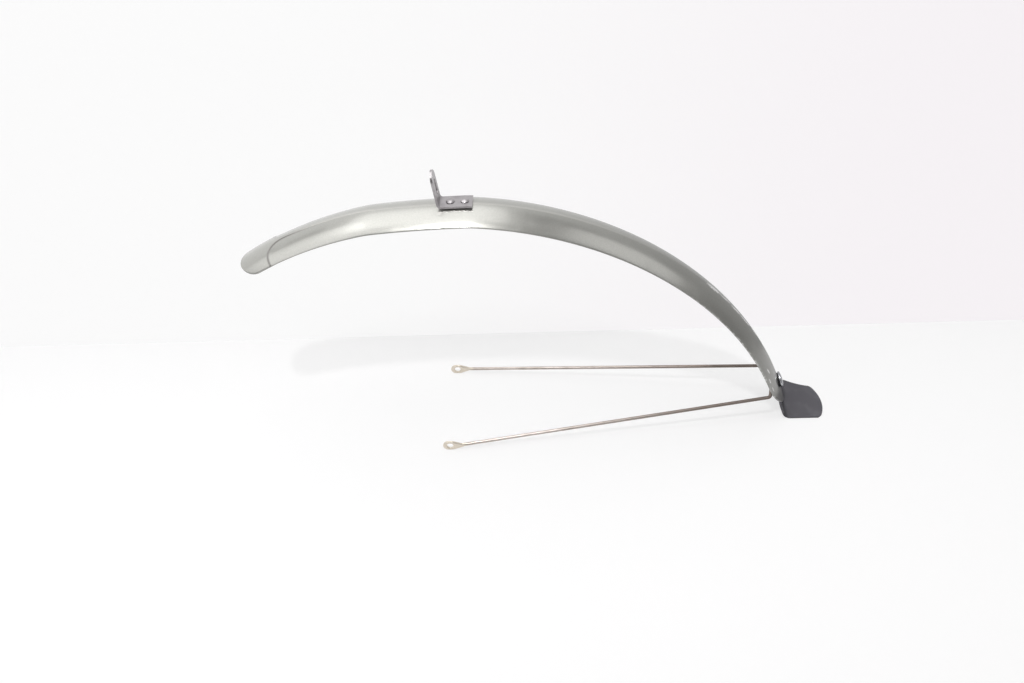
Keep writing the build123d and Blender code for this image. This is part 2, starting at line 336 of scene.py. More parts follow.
blade_index = np.arange(len(rows_along) * loop).reshape(-1, loop)
wall_faces = grid_faces(blade_index, wrap=True)[:, ::-1].tolist()
tip_cap = end_cap(0)
rear_cap = [face[::-1] for face in end_cap((len(rows_along) - 1) * loop)]
blade_along = np.broadcast_to(rows_along[:, None], blade_across.shape)
blade_inside = panel_inside(blade_along, blade_across)
outer = np.broadcast_to(np.arange(loop) < count, blade_across.shape)
blade = add_piece(
    "blade_shell", blade_grid, wall_faces + tip_cap + rear_cap, ["mudguard_blade"],
    {
        "along": blade_along,
        "across": blade_across,
        "rim": blade_rim,
        "step": bell(blade_inside, 0.6 * mm, 1.0 * mm) * outer,
        "ridge": bell(blade_inside, -0.1 * mm, 0.45 * mm) * outer,
        "outer": outer,
    },
)

# %% [markdown]
# ## The mud flap
#
# A flexible flap is fixed under the blade's end and lies bent over on the floor. It is a strip
# in length and breadth, so each point has a length along the strip and a place across it. The
# flap follows the inside of the blade, turns through a tight bend and runs out flat; its far side
# bends more slowly than the near side, so it stays off the floor for a while. A second grid, the
# tongue under the blade, shares its last row of points with the first.

# %% Flap sizes
flap_sheet = 2 * mm
flap_half = 24.3 * mm
flap_root_half = 8 * mm
flap_root = 22.2                # angle where the tongue starts inside the blade
flap_shoulder = 15 * mm
flap_floor = 36.3 * mm
flap_end_round = 44 * mm
flap_end_middle = -3 * mm
near_corner = (2.5 * mm, 5 * mm)  # how much is cut off the end, and over which width
far_corner = (1.5 * mm, 4 * mm)
flap_lift = 8.5 * mm
flap_lift_length = 36 * mm
flap_lift_power = 2.2
flap_taper = 3.5 * mm
flap_drop = 1.5 * mm
seat_gap = 0.15 * mm
end_gap = 0.4 * mm
inner_arch = arch_radius - blade_wall
root_drop = inner_arch - math.sqrt(inner_arch ** 2 - flap_root_half ** 2)
flap_radius = crown_radius - blade_wall - root_drop - seat_gap - flap_sheet / 2
leave_sine = math.sin(math.radians(end_angle))
flap_bend = (wheel_z + flap_radius * leave_sine - flap_sheet / 2) / (1 - leave_sine)
bend_length = flap_bend * math.radians(90 - end_angle)
flap_length = bend_length + flap_floor
root_length = -math.radians(flap_root - end_angle) * flap_radius
print("flap bend radius:", round(flap_bend, 4), "length past the blade:", round(flap_length, 4))


# %% The flap's outline and surface
def flap_start(across):
    """Length where the wide part starts: along the blade's elliptic end, up to the shoulders."""
    ellipse = np.sqrt(np.clip(1 - (across / (blade_half + end_gap)) ** 2, 0, 1))
    return np.maximum(-(end_round + end_gap) * (1 - ellipse) + end_gap, -flap_shoulder)


def corner_cut(side, cut, reach):
    """What a corner takes off the end: a cut times the square of the share of its reach."""
    return cut * np.clip((side - flap_half + reach) / reach, 0, 1) ** 2


def flap_finish(across):
    """Length where the flap ends: an arc, less a cut at the near corner and a smaller far one."""
    side = across - flap_taper * np.clip(across / flap_half, 0, 1)
    arc = flap_end_round - np.sqrt(flap_end_round ** 2 - (side - flap_end_middle) ** 2)
    near = corner_cut(-across, *near_corner)
    far = corner_cut(across, *far_corner)
    return flap_length - arc - near - far


def flap_points(length, across):
    """Middle of the sheet: an arc round the wheel, an arc round the bend's hub, then straight on.

    The far side is lifted by a share of its width to a power and drawn in towards the end, and
    the near shoulder hangs a little forward.
    """
    under = wheel + ray(end_angle - np.degrees(length / flap_radius)) * flap_radius
    hub = wheel + ray(end_angle) * (flap_radius + flap_bend)
    turned_by = np.degrees(np.clip(length, 0, bend_length) / flap_bend)
    bent = hub - ray(end_angle + turned_by) * flap_bend
    flat = bent + np.stack([np.clip(length - bend_length, 0, None), 0 * length], -1)
    line = np.where((length < 0)[..., None], under, flat)
    lying = np.clip(1 - (length - bend_length) / flap_lift_length, 0, 1) ** 2
    breadth = np.clip((across + flap_half) / (2 * flap_half), 0, 1)
    rise = ease(length, -3 * mm, 5 * mm) * breadth ** flap_lift_power
    hang = ease(-across, flap_root_half, flap_half) * ease(-length, -8 * mm, 12 * mm)
    drawn = flap_taper * ease(length, 0, flap_length) * np.clip(across / flap_half, 0, 1)
    x = line[..., 0] - flap_drop * hang
    return np.stack([x, across - drawn, line[..., 1] + flap_lift * lying * rise], -1)


# %% The flap as a mesh
flap_soft_edge = 0.45 * mm
tongue_columns = np.linspace(0, flap_root_half, 9)[1:]
outer_columns = np.linspace(flap_root_half, flap_half, 21)[1:]
one_half = np.concatenate([tongue_columns, outer_columns])
flap_across = np.concatenate([-one_half[::-1], [0], one_half])
in_tongue = np.abs(flap_across) < flap_root_half + 0.01 * mm
share, across = np.meshgrid(np.linspace(0, 1, 80), flap_across, indexing="ij")
sheet_length = flap_start(across) + share * (flap_finish(across) - flap_start(across))
tongue_rows = np.linspace(0, 1, 24)[:-1]
share, across_tongue = np.meshgrid(tongue_rows, flap_across[in_tongue], indexing="ij")
tongue_length = root_length + share * (flap_start(across_tongue) - root_length)
flap_lengths = np.concatenate([sheet_length.ravel(), tongue_length.ravel()])
flap_sides = np.concatenate([across.ravel(), across_tongue.ravel()])
sheet_index = np.arange(sheet_length.size).reshape(sheet_length.shape)
tongue_index = sheet_length.size + np.arange(tongue_length.size).reshape(tongue_length.shape)
tongue_index = np.concatenate([tongue_index, sheet_index[:1, in_tongue]])
flap_faces = grid_faces(sheet_index).tolist() + grid_faces(tongue_index).tolist()
flap = add_piece(
    "flap_sheet", flap_points(flap_lengths, flap_sides), flap_faces, ["mud_flap"],
    # where the flap's colour is painted darker, as shade in the crease
    {"crease": bell(flap_lengths, 2.5 * mm, 3.0 * mm)},
)
wall = flap.modifiers.new("thickness", "SOLIDIFY")
wall.thickness = flap_sheet
wall.offset = 0
soft = flap.modifiers.new("soft_edge", "BEVEL")
soft.width = flap_soft_edge
soft.segments = 2
soft.limit_method = "ANGLE"
soft.angle_limit = math.radians(50)

# %% [markdown]
# ## The wire stay
#
# One wire is bent into a U: its middle sits in the clip inside the blade, and both ends are
# hammered flat and pierced. The round part is a circle carried along straight runs that are
# joined by arcs. Near an end the circle is squeezed until it disappears in the flat eyelet, which
# is a grid round its hole.

# %% The wire's path
wire_radius = 1.75 * mm
eye_height = 11.6 * mm
eye_hole = 7 * mm
eye_sheet = 2.4 * mm
eye_neck = 13 * mm
eye_y = 57.7 * mm
leg_bend = (21.2, 13 * mm, -23.75 * mm)  # angle, depth below the crown line and place across
bar_bend = (21.9, 8.2 * mm, -12 * mm)
leg_bend_radius = 3.5 * mm
bar_bend_radius = 8 * mm
end_rings = np.array([0, 1, 2, 3, 4, 6, 8, 10]) * mm  # rings lie close where the wire is squeezed


def inside_crown(angle, below, y):
    """Point (x, y, z) at a depth below the crown line and a place across the blade."""
    x, z = crown(np.array(angle), np.array(-below))
    return np.array([x, y, z])


eye = np.array([wheel_x - eye_forward, -eye_y, eye_height / 2])
near_half = np.stack([
    eye + np.array([eye_neck - 2 * wire_radius, 0, 0]),
    inside_crown(*leg_bend),
    inside_crown(*bar_bend),
])
wire_corners = np.concatenate([near_half, near_half[::-1] * [1, -1, 1]])
bend_radii = np.array([leg_bend_radius, bar_bend_radius, bar_bend_radius, leg_bend_radius])


def bent_path(corners, radii, steps=9):
    """Points and directions along straight runs joined by arcs that touch both runs.

    An arc starts its radius times the half turn's tangent before the corner. From there a point
    is the radius times the sine along the first run, plus the radius times one minus the cosine
    along the normal in the corner's plane.
    """
    runs = np.diff(corners, axis=0)
    runs /= np.linalg.norm(runs, axis=1, keepdims=True)
    into, out = runs[:-1], runs[1:]
    whole = np.arccos(np.clip((into * out).sum(1), -1, 1))
    normal = (out - into * np.cos(whole)[:, None]) / np.sin(whole)[:, None]
    first = corners[1:-1] - into * (radii * np.tan(whole / 2))[:, None]
    turn = whole[:, None] * np.linspace(0, 1, steps)
    sine, cosine = np.sin(turn)[..., None], np.cos(turn)[..., None]
    arm = sine * into[:, None] + (1 - cosine) * normal[:, None]
    places = first[:, None] + radii[:, None, None] * arm
    headings = cosine * into[:, None] + sine * normal[:, None]
    lead = end_rings[:, None]
    start = corners[0] + lead * runs[0]
    stop = corners[-1] - lead[::-1] * runs[-1]
    path = np.concatenate([start, places.reshape(-1, 3), stop])
    ways = np.concatenate([0 * lead + runs[0], headings.reshape(-1, 3), 0 * lead + runs[-1]])
    return path, ways


path, ways = bent_path(wire_corners, bend_radii)
print("points along the wire:", len(path))

# %% The round wire
wire_spokes = 20
end_squeeze = 0.62              # share of the wire's breadth that is left at an end
squeeze_length = 7 * mm
pale_reach = (3 * mm, 14 * mm)  # from an end, where the eyelet's pale finish fades


def wire_points():
    """Rings round the path: the cosine goes sideways and the sine upwards.

    The rings are squeezed sideways near both ends. Returns them with a paleness for each point.
    """
    sideways = np.cross(ways, [0, 0, 1])
    sideways /= np.linalg.norm(sideways, axis=1, keepdims=True)
    upwards = np.cross(sideways, ways)
    length = lengths_along(path)
    from_end = np.minimum(length, length[-1] - length)
    squeeze = end_squeeze + (1 - end_squeeze) * ease(from_end, 0, squeeze_length)
    turn = np.linspace(0, 2 * math.pi, wire_spokes, endpoint=False)[None, :, None]
    flat = (sideways * squeeze[:, None])[:, None]
    ring = np.cos(turn) * flat + np.sin(turn) * upwards[:, None]
    paleness = 1 - ease(from_end, *pale_reach)
    return path[:, None] + wire_radius * ring, np.repeat(paleness, wire_spokes)


wire_grid, wire_eye = wire_points()
wire_index = np.arange(wire_grid.shape[0] * wire_spokes).reshape(-1, wire_spokes)
wire_ends = [wire_index[0].tolist(), wire_index[-1, ::-1].tolist()]
wire_faces = grid_faces(wire_index, wrap=True)[:, ::-1].tolist() + wire_ends
print("rings on the wire:", len(wire_index))

# %% The flat eyelets
eye_soft = 0.8 * mm


def eyelet_points(side):
    """Ring round the hole: an outline of circles by the normal's angle, and a soft-edged section.

    The outline's point is a circle's middle plus its radius along the normal. Each section leaves
    it by an inset, crosses to the hole and comes back, with quarter circles at its four edges.
    """
    large, small = eye_height / 2, wire_radius
    shift = (eye_length - eye_height) / 2
    split = math.acos((large - small) / (eye_neck - shift))
    # first and last angle and number of points: the neck, then the oval's three stretches
    stretches = [
        (-split, split, 9),
        (split, math.pi / 2, 5),
        (math.pi / 2, 1.5 * math.pi, 25),
        (1.5 * math.pi, 2 * math.pi - split, 5),
    ]
    normal = np.concatenate([np.linspace(*stretch) for stretch in stretches])
    sizes = [stretch[2] for stretch in stretches]
    middle = np.repeat([eye_neck, shift, -shift, shift], sizes)
    radius = np.repeat([small, large, large, large], sizes)
    facing = np.stack([np.cos(normal), np.sin(normal)], -1)
    outline = facing * radius[:, None]
    outline[:, 0] += middle
    spread = outline / np.linalg.norm(outline, axis=1, keepdims=True)
    swing = np.radians([-90, -60, -30, 0, 0, 30, 60, 90])
    inset = eye_soft * (1 - np.cos(swing))
    lift = eye_soft * np.sin(swing) + (eye_sheet / 2 - eye_soft) * np.repeat([-1, 1], 4)
    edge = outline[:, None] - facing[:, None] * inset[None, :, None]
    hole = spread[:, None] * (eye_hole / 2 + inset[::-1])[None, :, None]
    flat = np.concatenate([edge, hole], 1)
    across = np.broadcast_to(np.concatenate([lift, lift[::-1]]), flat.shape[:2])
    return np.stack([eye[0] + flat[..., 0], side * eye_y + across, eye[2] + flat[..., 1]], -1)


eye_grids = np.stack([eyelet_points(side) for side in (-1, 1)])
ring_rows, ring_columns = eye_grids.shape[1:3]
eye_index = np.arange(ring_rows * ring_columns).reshape(ring_rows, ring_columns)
eye_faces = grid_faces(np.concatenate([eye_index, eye_index[:1]]), wrap=True) + wire_index.size
stay = add_piece(
    "stay_wire", np.concatenate([wire_grid.reshape(-1, 3), eye_grids.reshape(-1, 3)]),
    wire_faces + eye_faces.tolist() + (eye_faces + eye_index.size).tolist(),
    ["wire_stay"],
    {"eye": np.concatenate([wire_eye, np.ones(2 * eye_index.size)])},
)

# %% [markdown]
# ## Turned fasteners
#
# The bolt has a wide, low head, and two rivets hold the bracket. Both are round about an axis
# that stands on the crown, so each is a profile of radius and height turned about it.

# %% Turned shapes
def domed(radius, top, drop):
    """Profile rows of a low dome: the top less a drop times the squared share of the radius."""
    share = np.linspace(0, 1, 9)
    return np.stack([radius * share, top - drop * share ** 2], -1).tolist()


def turned(profile, angle, first=0, spokes=48):
    """Points and faces of a profile turned about the crown's normal at an angle.

    A point is the stem at its height, plus its radius times the cosine across the blade and the
    sine along it. The profile's ends are poles, and first is the number of the first point.
    """
    x, z = crown(np.array(angle), np.array(0.0))
    out_x, out_z = ray(angle)
    axis = np.array([out_x, 0, out_z])
    radius, height = np.array(profile).T * mm
    turn = np.linspace(0, 2 * math.pi, spokes, endpoint=False)[None, :, None]
    ring = np.cos(turn) * np.array([0, 1, 0]) + np.sin(turn) * np.cross(axis, [0, 1, 0])
    stem = np.array([x, 0, z]) + axis * height[:, None]
    points = stem[1:-1, None] + ring * radius[1:-1, None, None]
    index = np.arange(points.shape[0] * spokes).reshape(-1, spokes)
    top, bottom = index.size, index.size + 1
    after = np.roll(index, -1, axis=1)
    top_fan = np.stack([index[0], after[0], np.full(spokes, top)], -1)
    bottom_fan = np.stack([after[-1], index[-1], np.full(spokes, bottom)], -1)
    groups = [grid_faces(index, wrap=True)[:, ::-1], top_fan, bottom_fan]
    faces = [face for group in groups for face in (group + first).tolist()]
    return np.concatenate([points.reshape(-1, 3), stem[:1], stem[-1:]]), faces


# %% Bolt and rivets
bolt_angle = 20.7
bracket_angle = 91.4
rivet_places = np.array([7, 20]) * mm   # behind the bracket's upright, along the crown
# radius and height above the crown line, in mm, from the top of the head down
bolt_profile = [
    *domed(8.0, 3.85, 1.1),
    [8.3, 2.55], [8.46, 2.25], [8.5, 1.9], [8.5, 0.85],
    [8.42, 0.72], [8.25, 0.68], [7.95, 0.68], [7.8, 0.72],
    [7.75, 0.85], [7.75, 1.8], [7.7, 1.92], [7.55, 1.95],
    [2.7, 1.95], [2.52, 1.93], [2.5, 1.8],
    [2.5, -9.9], [2.45, -10.05], [2.2, -10.33], [2.0, -10.35], [0, -10.35],
]
rivet_profile = [
    *domed(3.7, 3.9, 1.0),
    [3.92, 2.7], [4.0, 2.5], [3.97, 2.35], [3.85, 2.3],
    [2.15, 2.3], [2.02, 2.27], [2.0, 2.15],
    [2.0, -2.15], [2.02, -2.26], [2.15, -2.285],
    [2.9, -2.285], [3.05, -2.33], [3.1, -2.45], [3.1, -3.2],
    [2.95, -3.42], [2.7, -3.485], [0, -3.485],
]
bolt_points, bolt_faces = turned(bolt_profile, bolt_angle)
bolt = add_piece("bolt_turned", bolt_points, bolt_faces, ["stay_bolt"])
rivet_angles = angle_at(along_at(bracket_angle) + rivet_places)
front_points, front_faces = turned(rivet_profile, rivet_angles[0])
rear_points, rear_faces = turned(rivet_profile, rivet_angles[1], first=len(front_points))
rivets = add_piece(
    "rivets_turned", np.concatenate([front_points, rear_points]), front_faces + rear_faces,
    ["bracket_rivets"],
)

# %% [markdown]
# ## Finishes
#
# Each finish is a small node tree. A few helpers keep the trees readable: one adds a node and
# fills its sockets, others add a product, a ramp or a mix. Patterns that are used more than once
# are node groups.

# %% Node helpers
def fill(tree, socket, value):
    """Link a socket to another one, or set it to a value."""
    if isinstance(value, bpy.types.NodeSocket):
        tree.links.new(value, socket)
    else:
        socket.default_value = value


def add_node(tree, kind, **inputs):
    """A node with its sockets filled, by name or by number (i0, i1 and so on)."""
    node = tree.nodes.new(kind)
    for key, value in inputs.items():
        numbered = key[0] == "i" and key[1:].isdigit()
        fill(tree, node.inputs[int(key[1:]) if numbered else key.replace("_", " ")], value)
    return node


def add_math(tree, operation, first, second=0.0):
    """The result socket of a Math node."""
    node = add_node(tree, "ShaderNodeMath", i0=first, i1=second)
    node.operation = operation
    return node.outputs[0]


def add_product(tree, first, second):
    """The product of two values."""
    return add_math(tree, "MULTIPLY", first, second)


def add_ramp(tree, value, low, high):
    """Smooth 0 to 1 as the value goes from low to high."""
    node = add_node(tree, "ShaderNodeMapRange", Value=value, From_Min=low, From_Max=high)
    node.interpolation_type = "SMOOTHSTEP"
    return node.outputs[0]


def add_mix(tree, share, first, second):
    """Colour mixed from two by a share."""
    node = tree.nodes.new("ShaderNodeMix")
    node.data_type = "RGBA"
    for slot, value in ((0, share), (6, first), (7, second)):
        fill(tree, node.inputs[slot], value)
    return node.outputs[2]


def add_attribute(tree, name):
    """A named value that the piece carries on its points."""
    node = tree.nodes.new("ShaderNodeAttribute")
    node.attribute_name = name
    return node.outputs["Fac"]


def add_place(tree):
    """Object coordinates of the point that is shaded."""
    return add_node(tree, "ShaderNodeTexCoord").outputs["Object"]


def add_noise(tree, scale, detail):
    """Noise from 0 to 1 on Object coordinates."""
    inputs = dict(Vector=add_place(tree), Scale=scale, Detail=detail)
    return add_node(tree, "ShaderNodeTexNoise", **inputs).outputs[0]


# %% Finishes and groups
def new_finish(name, **sockets):
    """A material with one Principled BSDF and constant values on its sockets."""
    finish = bpy.data.materials.new(name)
    finish.use_nodes = True
    shader = finish.node_tree.nodes["Principled BSDF"]
    for key, value in sockets.items():
        shader.inputs[key.replace("_", " ")].default_value = value
    return finish, finish.node_tree, shader


def vary(tree, socket, base, pattern, amount):
    """Fill a socket with a base value plus an amount times a pattern."""
    fill(tree, socket, add_math(tree, "ADD", base, add_product(tree, pattern, amount)))


def add_bump(tree, shader, height, strength, distance):
    """Bump on a shader's normal."""
    bump = add_node(tree, "ShaderNodeBump", Height=height, Strength=strength, Distance=distance)
    tree.links.new(bump.outputs[0], shader.inputs["Normal"])


def give(piece, finish):
    """Make a finish the only one of a piece."""
    slots = piece.data.materials
    slots.clear()
    slots.append(finish)
    print(piece.name, "finish:", finish.name, "nodes:", len(finish.node_tree.nodes))


def new_group(name, inputs):
    """A shader node group with named float inputs and one output, Mask, and its two ends."""
    group = bpy.data.node_groups.new(name, "ShaderNodeTree")
    for key in inputs:
        group.interface.new_socket(key, in_out="INPUT", socket_type="NodeSocketFloat")
    group.interface.new_socket("Mask", in_out="OUTPUT", socket_type="NodeSocketFloat")
    return group, group.nodes.new("NodeGroupInput"), group.nodes.new("NodeGroupOutput")


def place_group(tree, group, **inputs):
    """The mask of one use of a group, with its own values."""
    node = tree.nodes.new("ShaderNodeGroup")
    node.node_tree = group
    for key, value in inputs.items():
        fill(tree, node.inputs[key], value)
    return node.outputs[0]


# %% Shared patterns
def make_mottle():
    """Cloudy 0 to 1 mask: noise of a given scale, ramped between a low and a high value."""
    group, start, stop = new_group("mottle", ["Scale", "Low", "High"])
    noise = add_noise(group, start.outputs["Scale"], 5.0)
    mask = add_ramp(group, noise, start.outputs["Low"], start.outputs["High"])
    group.links.new(mask, stop.inputs["Mask"])
    return group


def make_streak():
    """Worn streak on the blade: an ellipse in lengths along and across it, with a ragged edge.

    Both lengths are taken from the streak's middle, turned, and divided by its own length and
    width. The root of the sum of their squares, plus noise, is 1 at the edge.
    """
    names = ["Along", "Across", "Length", "Width", "Turn", "Ragged"]
    group, start, stop = new_group("streak", names)
    take = start.outputs
    u = add_math(group, "SUBTRACT", add_attribute(group, "along"), take["Along"])
    v = add_math(group, "SUBTRACT", add_attribute(group, "across"), take["Across"])
    cosine = add_math(group, "COSINE", take["Turn"])
    sine = add_math(group, "SINE", take["Turn"])
    u_cosine, u_sine = add_product(group, u, cosine), add_product(group, u, sine)
    v_cosine, v_sine = add_product(group, v, cosine), add_product(group, v, sine)
    long_way = add_math(group, "ADD", u_cosine, v_sine)
    short_way = add_math(group, "SUBTRACT", v_cosine, u_sine)
    far = add_math(group, "POWER", add_math(group, "DIVIDE", long_way, take["Length"]), 2.0)
    wide = add_math(group, "POWER", add_math(group, "DIVIDE", short_way, take["Width"]), 2.0)
    noise = add_math(group, "SUBTRACT", add_noise(group, 900.0, 5.0), 0.5)
    rough = add_product(group, noise, take["Ragged"])
    radius = add_math(group, "SQRT", add_math(group, "ADD", far, wide))
    ragged = add_math(group, "ADD", radius, rough)
    group.links.new(add_ramp(group, ragged, 1.0, 0.6), stop.inputs["Mask"])
    return group


mottle = make_mottle()
streak = make_streak()
print("groups:", [g.name for g in bpy.data.node_groups])

# %% [markdown]
# ### Paint on the blade
#
# The blade is sprayed in a metallic olive grey under a clear coat. Fine flakes make the colour
# sparkle a little; handling has left white scuffs on the crown and chips at the near edge; the
# step behind the tip is darkened with painted shade, and the crown's ridge has a painted
# highlight.
# The scuffs are placed by length along the blade and across it, so they follow the arch. They are
# on its outer face only, which the mesh marks.

# %% Wear on the paint
# angle on the crown; across, length and width in mm; turn in radians; raggedness
wear_marks = [
    (44.4, 0.3, 11, 3.2, 0.08, 2.0),
    (41.4, -0.1, 10, 1.5, 0.06, 2.4),
    (38.7, -0.6, 10, 1.9, 0.06, 2.4),
    (36.0, -0.9, 10, 1.6, 0.04, 2.5),
    (33.0, -0.5, 9, 1.0, 0.0, 2.6),
    (26.3, -18.5, 5, 1.3, 0.1, 1.4),
    (24.6, -23, 5, 0.9, 0.0, 2.2),
    (22.6, -23.5, 5, 0.8, 0.0, 2.4),
]
rim_wear = 0.6


def add_bare(tree, along):
    """Where the primer shows: the most of all the marks and of patches on the rear part's rim."""
    marks = 0.0
    for angle, across, length, width, turn, ragged in wear_marks:
        mask = place_group(
            tree, streak, Along=along_at(angle), Across=across * mm,
            Length=length * mm, Width=width * mm, Turn=turn, Ragged=ragged,
        )
        marks = add_math(tree, "MAXIMUM", marks, mask)
    marks = add_product(tree, marks, add_attribute(tree, "outer"))
    rim = add_ramp(tree, add_attribute(tree, "rim"), 1.3 * mm, 0.3 * mm)
    late = add_ramp(tree, along, along_at(60), along_at(30))
    worn = place_group(tree, mottle, Scale=260.0, Low=0.42, High=0.62)
    rim = add_product(tree, rim, add_product(tree, late, worn))
    return add_math(tree, "MAXIMUM", marks, add_product(tree, rim, rim_wear))


def add_step_shade(tree, along):
    """Painted shade in the step's corner, which thins out behind the tip."""
    near_tip = add_ramp(tree, along, step_along + 70 * mm, step_along + 10 * mm)
    return add_product(tree, add_attribute(tree, "step"), near_tip)


def add_ridge_highlight(tree, along):
    """Painted highlight on the crown's ridge, from behind the step to where the scuffs begin."""
    ahead = add_ramp(tree, along, along_at(45), along_at(75))
    behind = add_ramp(tree, along, step_along + 20 * mm, step_along + 60 * mm)
    return add_product(tree, add_product(tree, add_attribute(tree, "ridge"), ahead), behind)


print("wear marks:", len(wear_marks))

# %% Blade paint
paint_dark = (0.385, 0.383, 0.358, 1)
paint_light = (0.465, 0.462, 0.435, 1)
dust_tone = (0.42, 0.42, 0.40, 1)
# colour of the painted shade in the step's corner
step_shade_tone = (0.07, 0.06, 0.055, 1)
# colour of the painted highlight on the crown's ridge
ridge_highlight_tone = (0.62, 0.61, 0.58, 1)
primer_tone = (0.82, 0.81, 0.80, 1)


def make_paint():
    """Metallic paint: flakes, faint dust, painted shade in the step, a painted ridge highlight and
    bare pale primer.
    """
    finish, tree, shader = new_finish("blade_paint", Coat_Weight=0.6, Coat_Roughness=0.1)
    along = add_attribute(tree, "along")
    cells = add_node(tree, "ShaderNodeTexVoronoi", Vector=add_place(tree), Scale=2600.0)
    flake = add_node(tree, "ShaderNodeSeparateColor", Color=cells.outputs["Color"]).outputs[0]
    dust = place_group(tree, mottle, Scale=70.0, Low=0.5, High=0.8)
    step_shade = add_step_shade(tree, along)
    ridge_highlight = add_ridge_highlight(tree, along)
    bare = add_bare(tree, along)
    colour = add_mix(tree, flake, paint_dark, paint_light)
    colour = add_mix(tree, add_product(tree, dust, 0.15), colour, dust_tone)
    # painted shade: the step's corner is darkened
    colour = add_mix(tree, add_product(tree, step_shade, 0.8), colour, step_shade_tone)
    # painted highlight along the crown's ridge
    colour = add_mix(tree, add_product(tree, ridge_highlight, 0.8), colour, ridge_highlight_tone)
    colour = add_mix(tree, bare, colour, primer_tone)
    tree.links.new(colour, shader.inputs["Base Color"])
    painted = add_math(tree, "SUBTRACT", 1.0, add_math(tree, "MAXIMUM", bare, step_shade))
    tree.links.new(add_product(tree, painted, 0.75), shader.inputs["Metallic"])
    rough = add_math(tree, "ADD", 0.30, add_product(tree, dust, 0.08))
    rough = add_math(tree, "MAXIMUM", rough, add_product(tree, bare, 0.6))
    tree.links.new(rough, shader.inputs["Roughness"])
    add_bump(tree, shader, flake, 0.02, 0.1 * mm)
    return finish


give(blade, make_paint())

# %% [markdown]
# ### Rubber, wire and fasteners
#
# The flap is dull dark rubber with a fine grain, with painted shade in the crease behind the
# blade's end. The stay is zinc-plated wire with warm brown grey tarnish in patches; its colour
# also darkens towards the blade, while its flattened ends are still pale. The bolt's head is
# bright, its base black plastic.

# %% Rubber
rubber_dark = (0.112, 0.109, 0.122, 1)
rubber_dusty = (0.150, 0.146, 0.162, 1)
# colour of the painted shade in the flap's crease
crease_shade_tone = (0.03, 0.03, 0.032, 1)


def make_rubber():
    """Dark grey rubber: a fine grain as bump, paler dusty patches and painted shade in the crease.
    """
    finish, tree, shader = new_finish("flap_rubber", Specular_IOR_Level=0.35)
    dust = place_group(tree, mottle, Scale=60.0, Low=0.45, High=0.75)
    colour = add_mix(tree, dust, rubber_dark, rubber_dusty)
    # painted shade where the flap leaves the blade's end
    shade = add_product(tree, add_attribute(tree, "crease"), 0.7)
    colour = add_mix(tree, shade, colour, crease_shade_tone)
    tree.links.new(colour, shader.inputs["Base Color"])
    vary(tree, shader.inputs["Roughness"], 0.55, dust, 0.15)
    add_bump(tree, shader, add_noise(tree, 1500.0, 2.0), 0.25, 0.15 * mm)
    return finish


give(flap, make_rubber())

# %% Wire
zinc_tone = (0.64, 0.57, 0.55, 1)
tarnish_tone = (0.22, 0.175, 0.145, 1)
eyelet_tone = (0.78, 0.71, 0.61, 1)
darkening_start = -0.04           # x where the colour begins to darken towards the blade, and where it is darkest
darkening_full = 0.17


def make_wire():
    """Zinc on steel: pale eyelets, brown tarnish in patches, and a colour that darkens towards the
    blade.
    """
    finish, tree, shader = new_finish("zinc_wire", Metallic=0.9)
    forward = add_node(tree, "ShaderNodeSeparateXYZ", Vector=add_place(tree)).outputs[0]
    # the colour darkens towards the blade, along x
    darker_to_blade = add_product(tree, add_ramp(tree, forward, darkening_start, darkening_full), 0.8)
    patch = add_product(tree, place_group(tree, mottle, Scale=45.0, Low=0.4, High=0.62), 0.5)
    # the stronger of the tarnish patches and the darkening towards the blade
    tarnish = add_math(tree, "MAXIMUM", patch, darker_to_blade)
    colour = add_mix(tree, tarnish, zinc_tone, tarnish_tone)
    colour = add_mix(tree, add_attribute(tree, "eye"), colour, eyelet_tone)
    tree.links.new(colour, shader.inputs["Base Color"])
    vary(tree, shader.inputs["Roughness"], 0.36, tarnish, 0.14)
    add_bump(tree, shader, add_noise(tree, 1600.0, 2.0), 0.08, 0.1 * mm)
    return finish


give(stay, make_wire())


# %% Plain metals and plastic
def make_metal(name, bright, tarnish, roughness, scale):
    """Plain metal with tarnish in patches: the patches are darker and duller."""
    finish, tree, shader = new_finish(name, Metallic=1.0)
    patch = place_group(tree, mottle, Scale=scale, Low=0.46, High=0.72)
    tree.links.new(add_mix(tree, patch, bright, tarnish), shader.inputs["Base Color"])
    vary(tree, shader.inputs["Roughness"], roughness, patch, 0.15)
    add_bump(tree, shader, add_noise(tree, 1800.0, 2.0), 0.06, 0.1 * mm)
    return finish


def make_plastic(name, black, dusty):
    """Black moulded plastic with faint dust."""
    finish, tree, shader = new_finish(name, Specular_IOR_Level=0.4)
    dust = place_group(tree, mottle, Scale=300.0, Low=0.45, High=0.8)
    tree.links.new(add_mix(tree, dust, black, dusty), shader.inputs["Base Color"])
    vary(tree, shader.inputs["Roughness"], 0.4, dust, 0.2)
    return finish


bracket_steel = make_metal(
    "bracket_steel", bright=(0.46, 0.44, 0.45, 1), tarnish=(0.34, 0.32, 0.33, 1),
    roughness=0.32, scale=60.0,
)
bolt_steel = make_metal(
    "bolt_steel", bright=(0.66, 0.67, 0.70, 1), tarnish=(0.50, 0.51, 0.54, 1),
    roughness=0.24, scale=240.0,
)
black_plastic = make_plastic(
    "black_plastic", black=(0.018, 0.018, 0.019, 1), dusty=(0.04, 0.04, 0.04, 1)
)
give(rivets, bracket_steel)
give(bolt, bolt_steel)
give(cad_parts["fork_bracket"], bracket_steel)
give(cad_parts["stay_clip"], black_plastic)
give(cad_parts["bolt_base"], black_plastic)
give(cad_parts["stay_nut"], bolt_steel)

